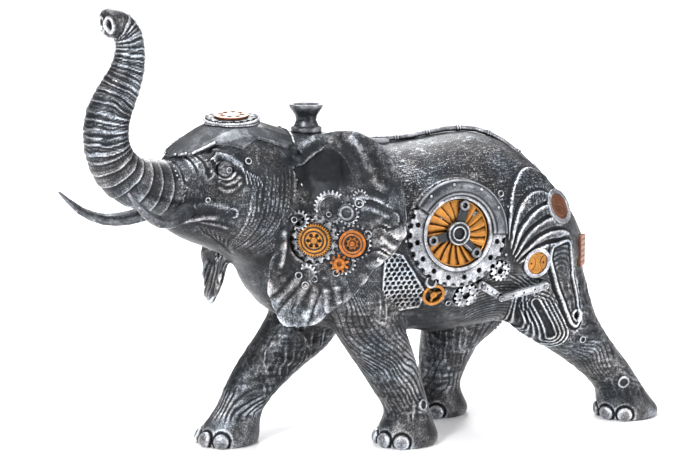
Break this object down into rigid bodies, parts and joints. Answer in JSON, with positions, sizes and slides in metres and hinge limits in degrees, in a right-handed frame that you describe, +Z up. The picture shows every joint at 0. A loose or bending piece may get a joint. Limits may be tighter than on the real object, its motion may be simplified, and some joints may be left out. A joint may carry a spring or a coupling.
{
  "type": "figural animal coin bank",
  "caption": "Walking elephant coin bank with clockwork relief, a slot beside the spine pipe and a pull-out plug in the belly.",
  "frame": {"origin": "centre of the footprint of the whole figure, on the floor", "axes": "+Z up, the trunk towards -X, the elephant's left side towards -Y"},
  "size_m": [0.3996, 0.1656, 0.2788],
  "materials": {
    "silver_finish": "antique silver paint over black, rubbed bright on the ridges",
    "dark_finish": "smooth gunmetal paint",
    "brass_finish": "aged brass paint, dark in the recesses",
    "copper_finish": "aged copper paint",
    "stopper_rubber": "matt black"
  },
  "bodies": {
    "elephant": {"torso_shell": "silver_finish", "head": "silver_finish", "trunk": "silver_finish", "left_ear": "silver_finish", "right_ear": "silver_finish", "left_tusk": "dark_finish", "right_tusk": "dark_finish", "tail": "silver_finish", "front_left_leg": "silver_finish", "front_right_leg": "silver_finish", "rear_left_leg": "silver_finish", "rear_right_leg": "silver_finish", "eyes": "dark_finish", "skull_plate": "dark_finish", "skull_gear": "dark_finish", "skull_rosette": "copper_finish", "chimney": "dark_finish", "spine_pipe": "silver_finish", "pipe_front_clamp": "dark_finish", "pipe_rear_cap": "dark_finish", "left_ring_gear": "silver_finish", "right_ring_gear": "silver_finish", "left_fan": "brass_finish", "right_fan": "brass_finish", "left_spider": "silver_finish", "right_spider": "silver_finish", "left_guard_arch": "silver_finish", "right_guard_arch": "silver_finish", "left_idler_gear": "silver_finish", "right_idler_gear": "silver_finish", "left_lower_gear": "silver_finish", "right_lower_gear": "silver_finish", "left_brass_hoop": "brass_finish", "right_brass_hoop": "brass_finish", "left_crank_link": "silver_finish", "right_crank_link": "silver_finish", "left_rod_link": "silver_finish", "right_rod_link": "silver_finish", "link_pins": "dark_finish", "hip_rings": "silver_finish", "hip_inserts": "brass_finish", "rump_rings": "silver_finish", "rump_inserts": "copper_finish", "rump_grilles": "copper_finish", "left_ear_plate": "silver_finish", "right_ear_plate": "silver_finish", "left_crown_wheel": "brass_finish", "right_crown_wheel": "brass_finish", "left_spoked_wheel": "copper_finish", "right_spoked_wheel": "copper_finish", "left_sun_pinion": "copper_finish", "right_sun_pinion": "copper_finish", "ear_dials": "dark_finish"},
    "stopper": {"belly_stopper": "stopper_rubber"}
  },
  "joints": [
    {"name": "stopper_pull", "type": "slide", "parent": "elephant", "child": "stopper", "axis": [0, 0, -1], "range_m": [0, 0.03]}
  ]
}
